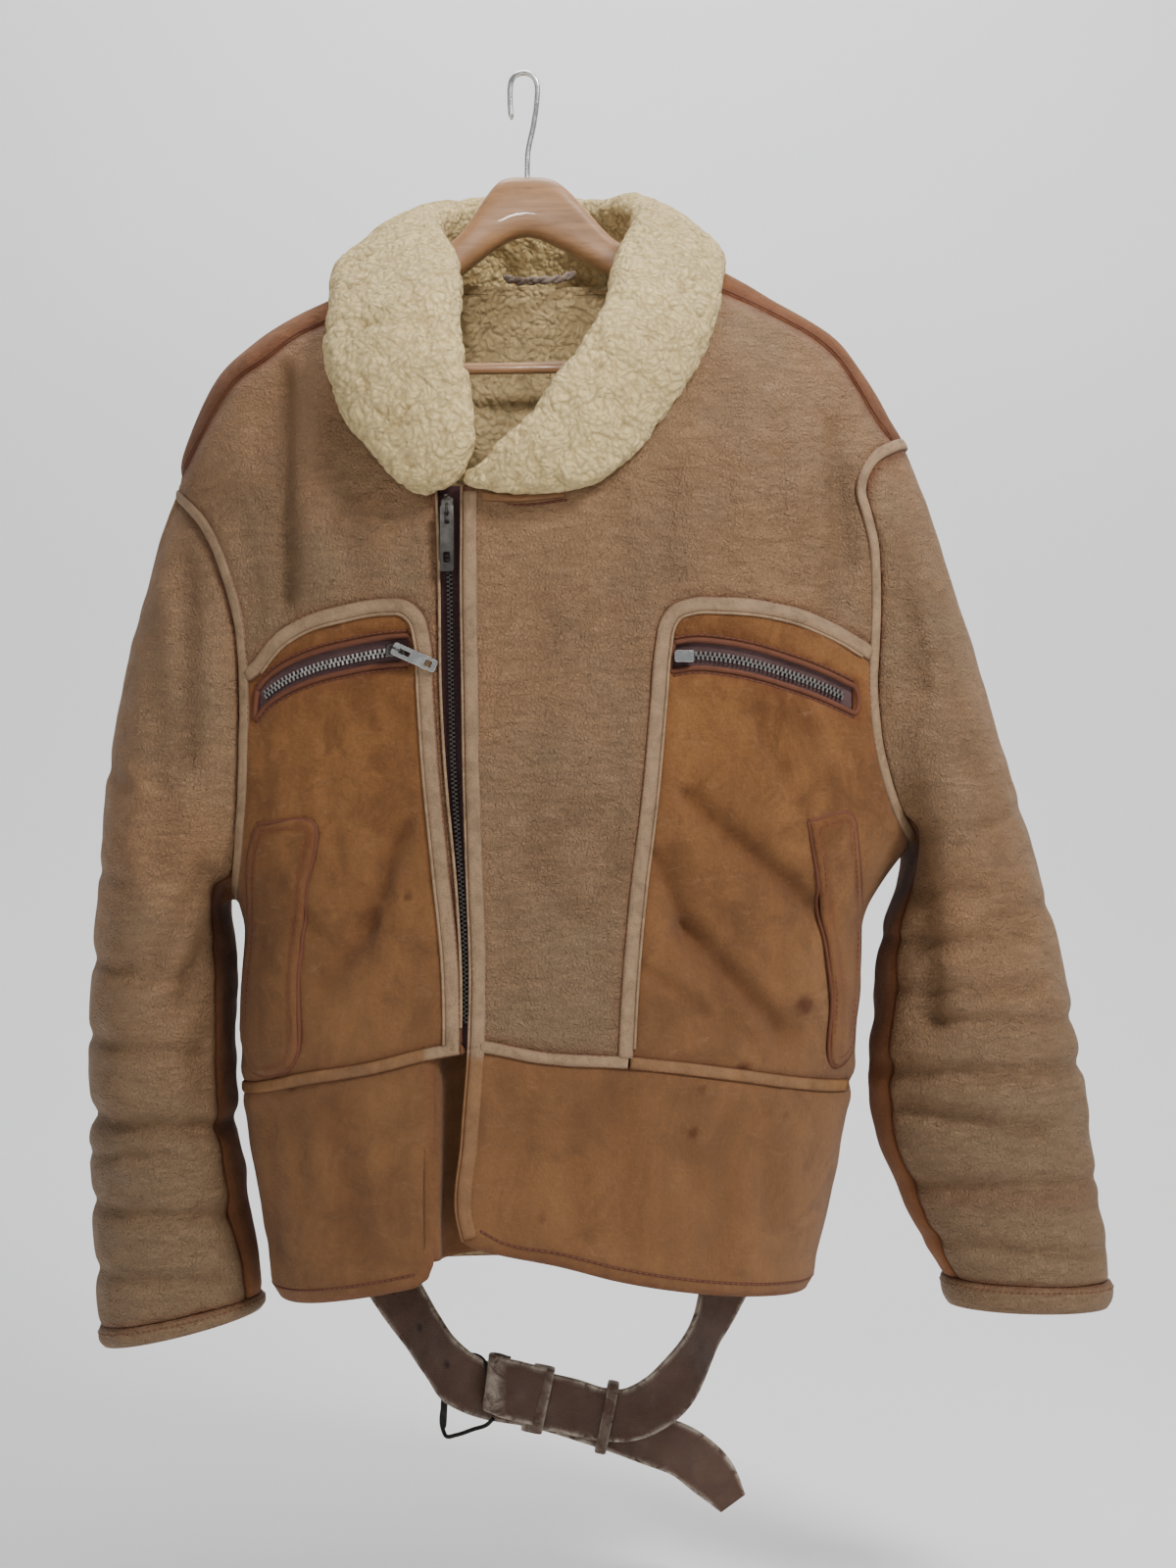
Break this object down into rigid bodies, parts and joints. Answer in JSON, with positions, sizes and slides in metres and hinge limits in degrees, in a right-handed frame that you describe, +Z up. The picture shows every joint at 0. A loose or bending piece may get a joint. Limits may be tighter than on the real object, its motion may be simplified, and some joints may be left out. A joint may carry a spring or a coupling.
{
  "type": "sheepskin flying jacket on a wooden hanger",
  "caption": "Waist-length shearling jacket with a deep fleece collar, zipped front, taped seams and a hanging waist belt, on a contoured wooden hanger.",
  "frame": {"origin": "the seat of the hanger's hook, where the rail bears, under the top of its bend", "axes": "+Z up, +X towards the wearer's left, -Y out of the front"},
  "size_m": [0.6969, 0.2478, 1.0085],
  "materials": {
    "leather": "aged matt tan leather, crackled",
    "suede": "napped golden brown suede",
    "shoulder_suede": "napped red-brown suede",
    "tape_leather": "pale smooth leather, stitched",
    "fleece": "curly cream shearling",
    "zip_tape": "dark woven cotton tape",
    "dark_metal": "dulled steel",
    "bright_metal": "polished",
    "belt_leather": "worn brown leather, pale edges",
    "hanger_wood": "varnished beech"
  },
  "bodies": {
    "jacket": {"chest_right": "leather", "chest_left": "leather", "pocket_panel_right": "suede", "pocket_panel_left": "suede", "hem_band_right": "suede", "hem_band_left": "suede", "hem_band_back": "suede", "back_right": "shoulder_suede", "back_left": "shoulder_suede", "main_zip": "zip_tape", "pocket_zip_right": "zip_tape", "pocket_zip_left": "zip_tape", "sleeve_right": "leather", "sleeve_left": "leather", "under_sleeve_right": "suede", "under_sleeve_left": "suede", "cuff_right": "leather", "cuff_left": "leather", "collar": "fleece", "belt_hole_strap": "belt_leather", "belt_buckle_strap": "belt_leather", "belt_fixed_keeper": "belt_leather", "belt_loose_keeper": "belt_leather", "belt_buckle": "dark_metal", "hanger_wood": "hanger_wood", "hanger_bar": "hanger_wood", "hanger_hook": "bright_metal", "hanging_loop": "belt_leather", "main_slider": "dark_metal", "pocket_slider_right": "dark_metal", "pocket_slider_left": "dark_metal", "pocket_pull_left": "dark_metal", "armhole_tape_front_right": "tape_leather", "armhole_tape_front_left": "tape_leather", "armhole_tape_back_right": "tape_leather", "armhole_tape_back_left": "tape_leather", "waist_tape_right": "tape_leather", "waist_tape_left": "tape_leather", "waist_tape_middle": "tape_leather", "waist_tape_back": "tape_leather", "pocket_tape_right": "tape_leather", "pocket_tape_left": "tape_leather", "edge_binding_left": "tape_leather", "neck_strip": "tape_leather", "centre_back_tape": "tape_leather", "welt_right": "suede", "welt_left": "suede"},
    "main_pull": {"main_pull": "dark_metal"},
    "pocket_pull": {"pocket_pull_right": "bright_metal"}
  },
  "joints": [
    {"name": "main_pull_swing", "type": "hinge", "parent": "jacket", "child": "main_pull", "pos_m": [-0.0485, -0.11562, -0.3085], "axis": [-1, 0, 0], "range_deg": [0, 95]},
    {"name": "pocket_pull_swing", "type": "hinge", "parent": "jacket", "child": "pocket_pull", "pos_m": [-0.081, -0.11566, -0.398], "axis": [-0.4085, 0, -0.9128], "range_deg": [0, 150]}
  ]
}
